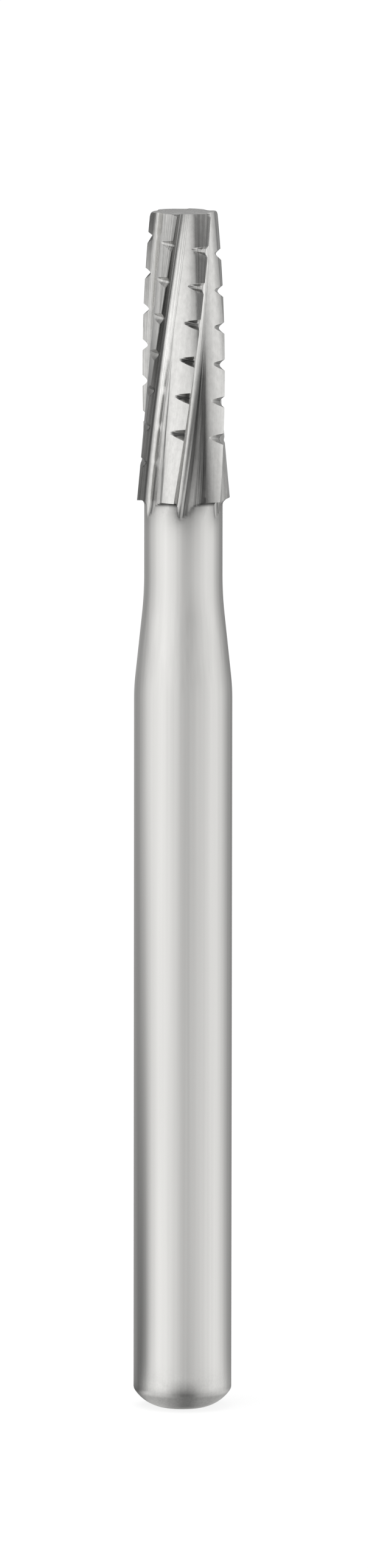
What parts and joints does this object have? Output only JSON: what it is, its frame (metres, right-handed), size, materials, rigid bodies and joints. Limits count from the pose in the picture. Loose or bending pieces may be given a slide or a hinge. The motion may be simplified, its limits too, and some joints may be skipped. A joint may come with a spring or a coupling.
{
  "type": "carbide burr",
  "caption": "Slim cross-cut tapered fissure burr: a fluted carbide head with notched helical blades on a necked-down plain round shank.",
  "frame": {"origin": "centre of the small flat at the shank's end", "axes": "+Z along the burr's axis from the shank to the tip; -Y is the side that the picture shows"},
  "size_m": [0.0016, 0.0016, 0.0196],
  "materials": {
    "carbide": "ground tungsten carbide: satin on the shank and neck, bright on the blades"
  },
  "bodies": {
    "root": {"carbide_burr": "carbide"}
  },
  "joints": []
}
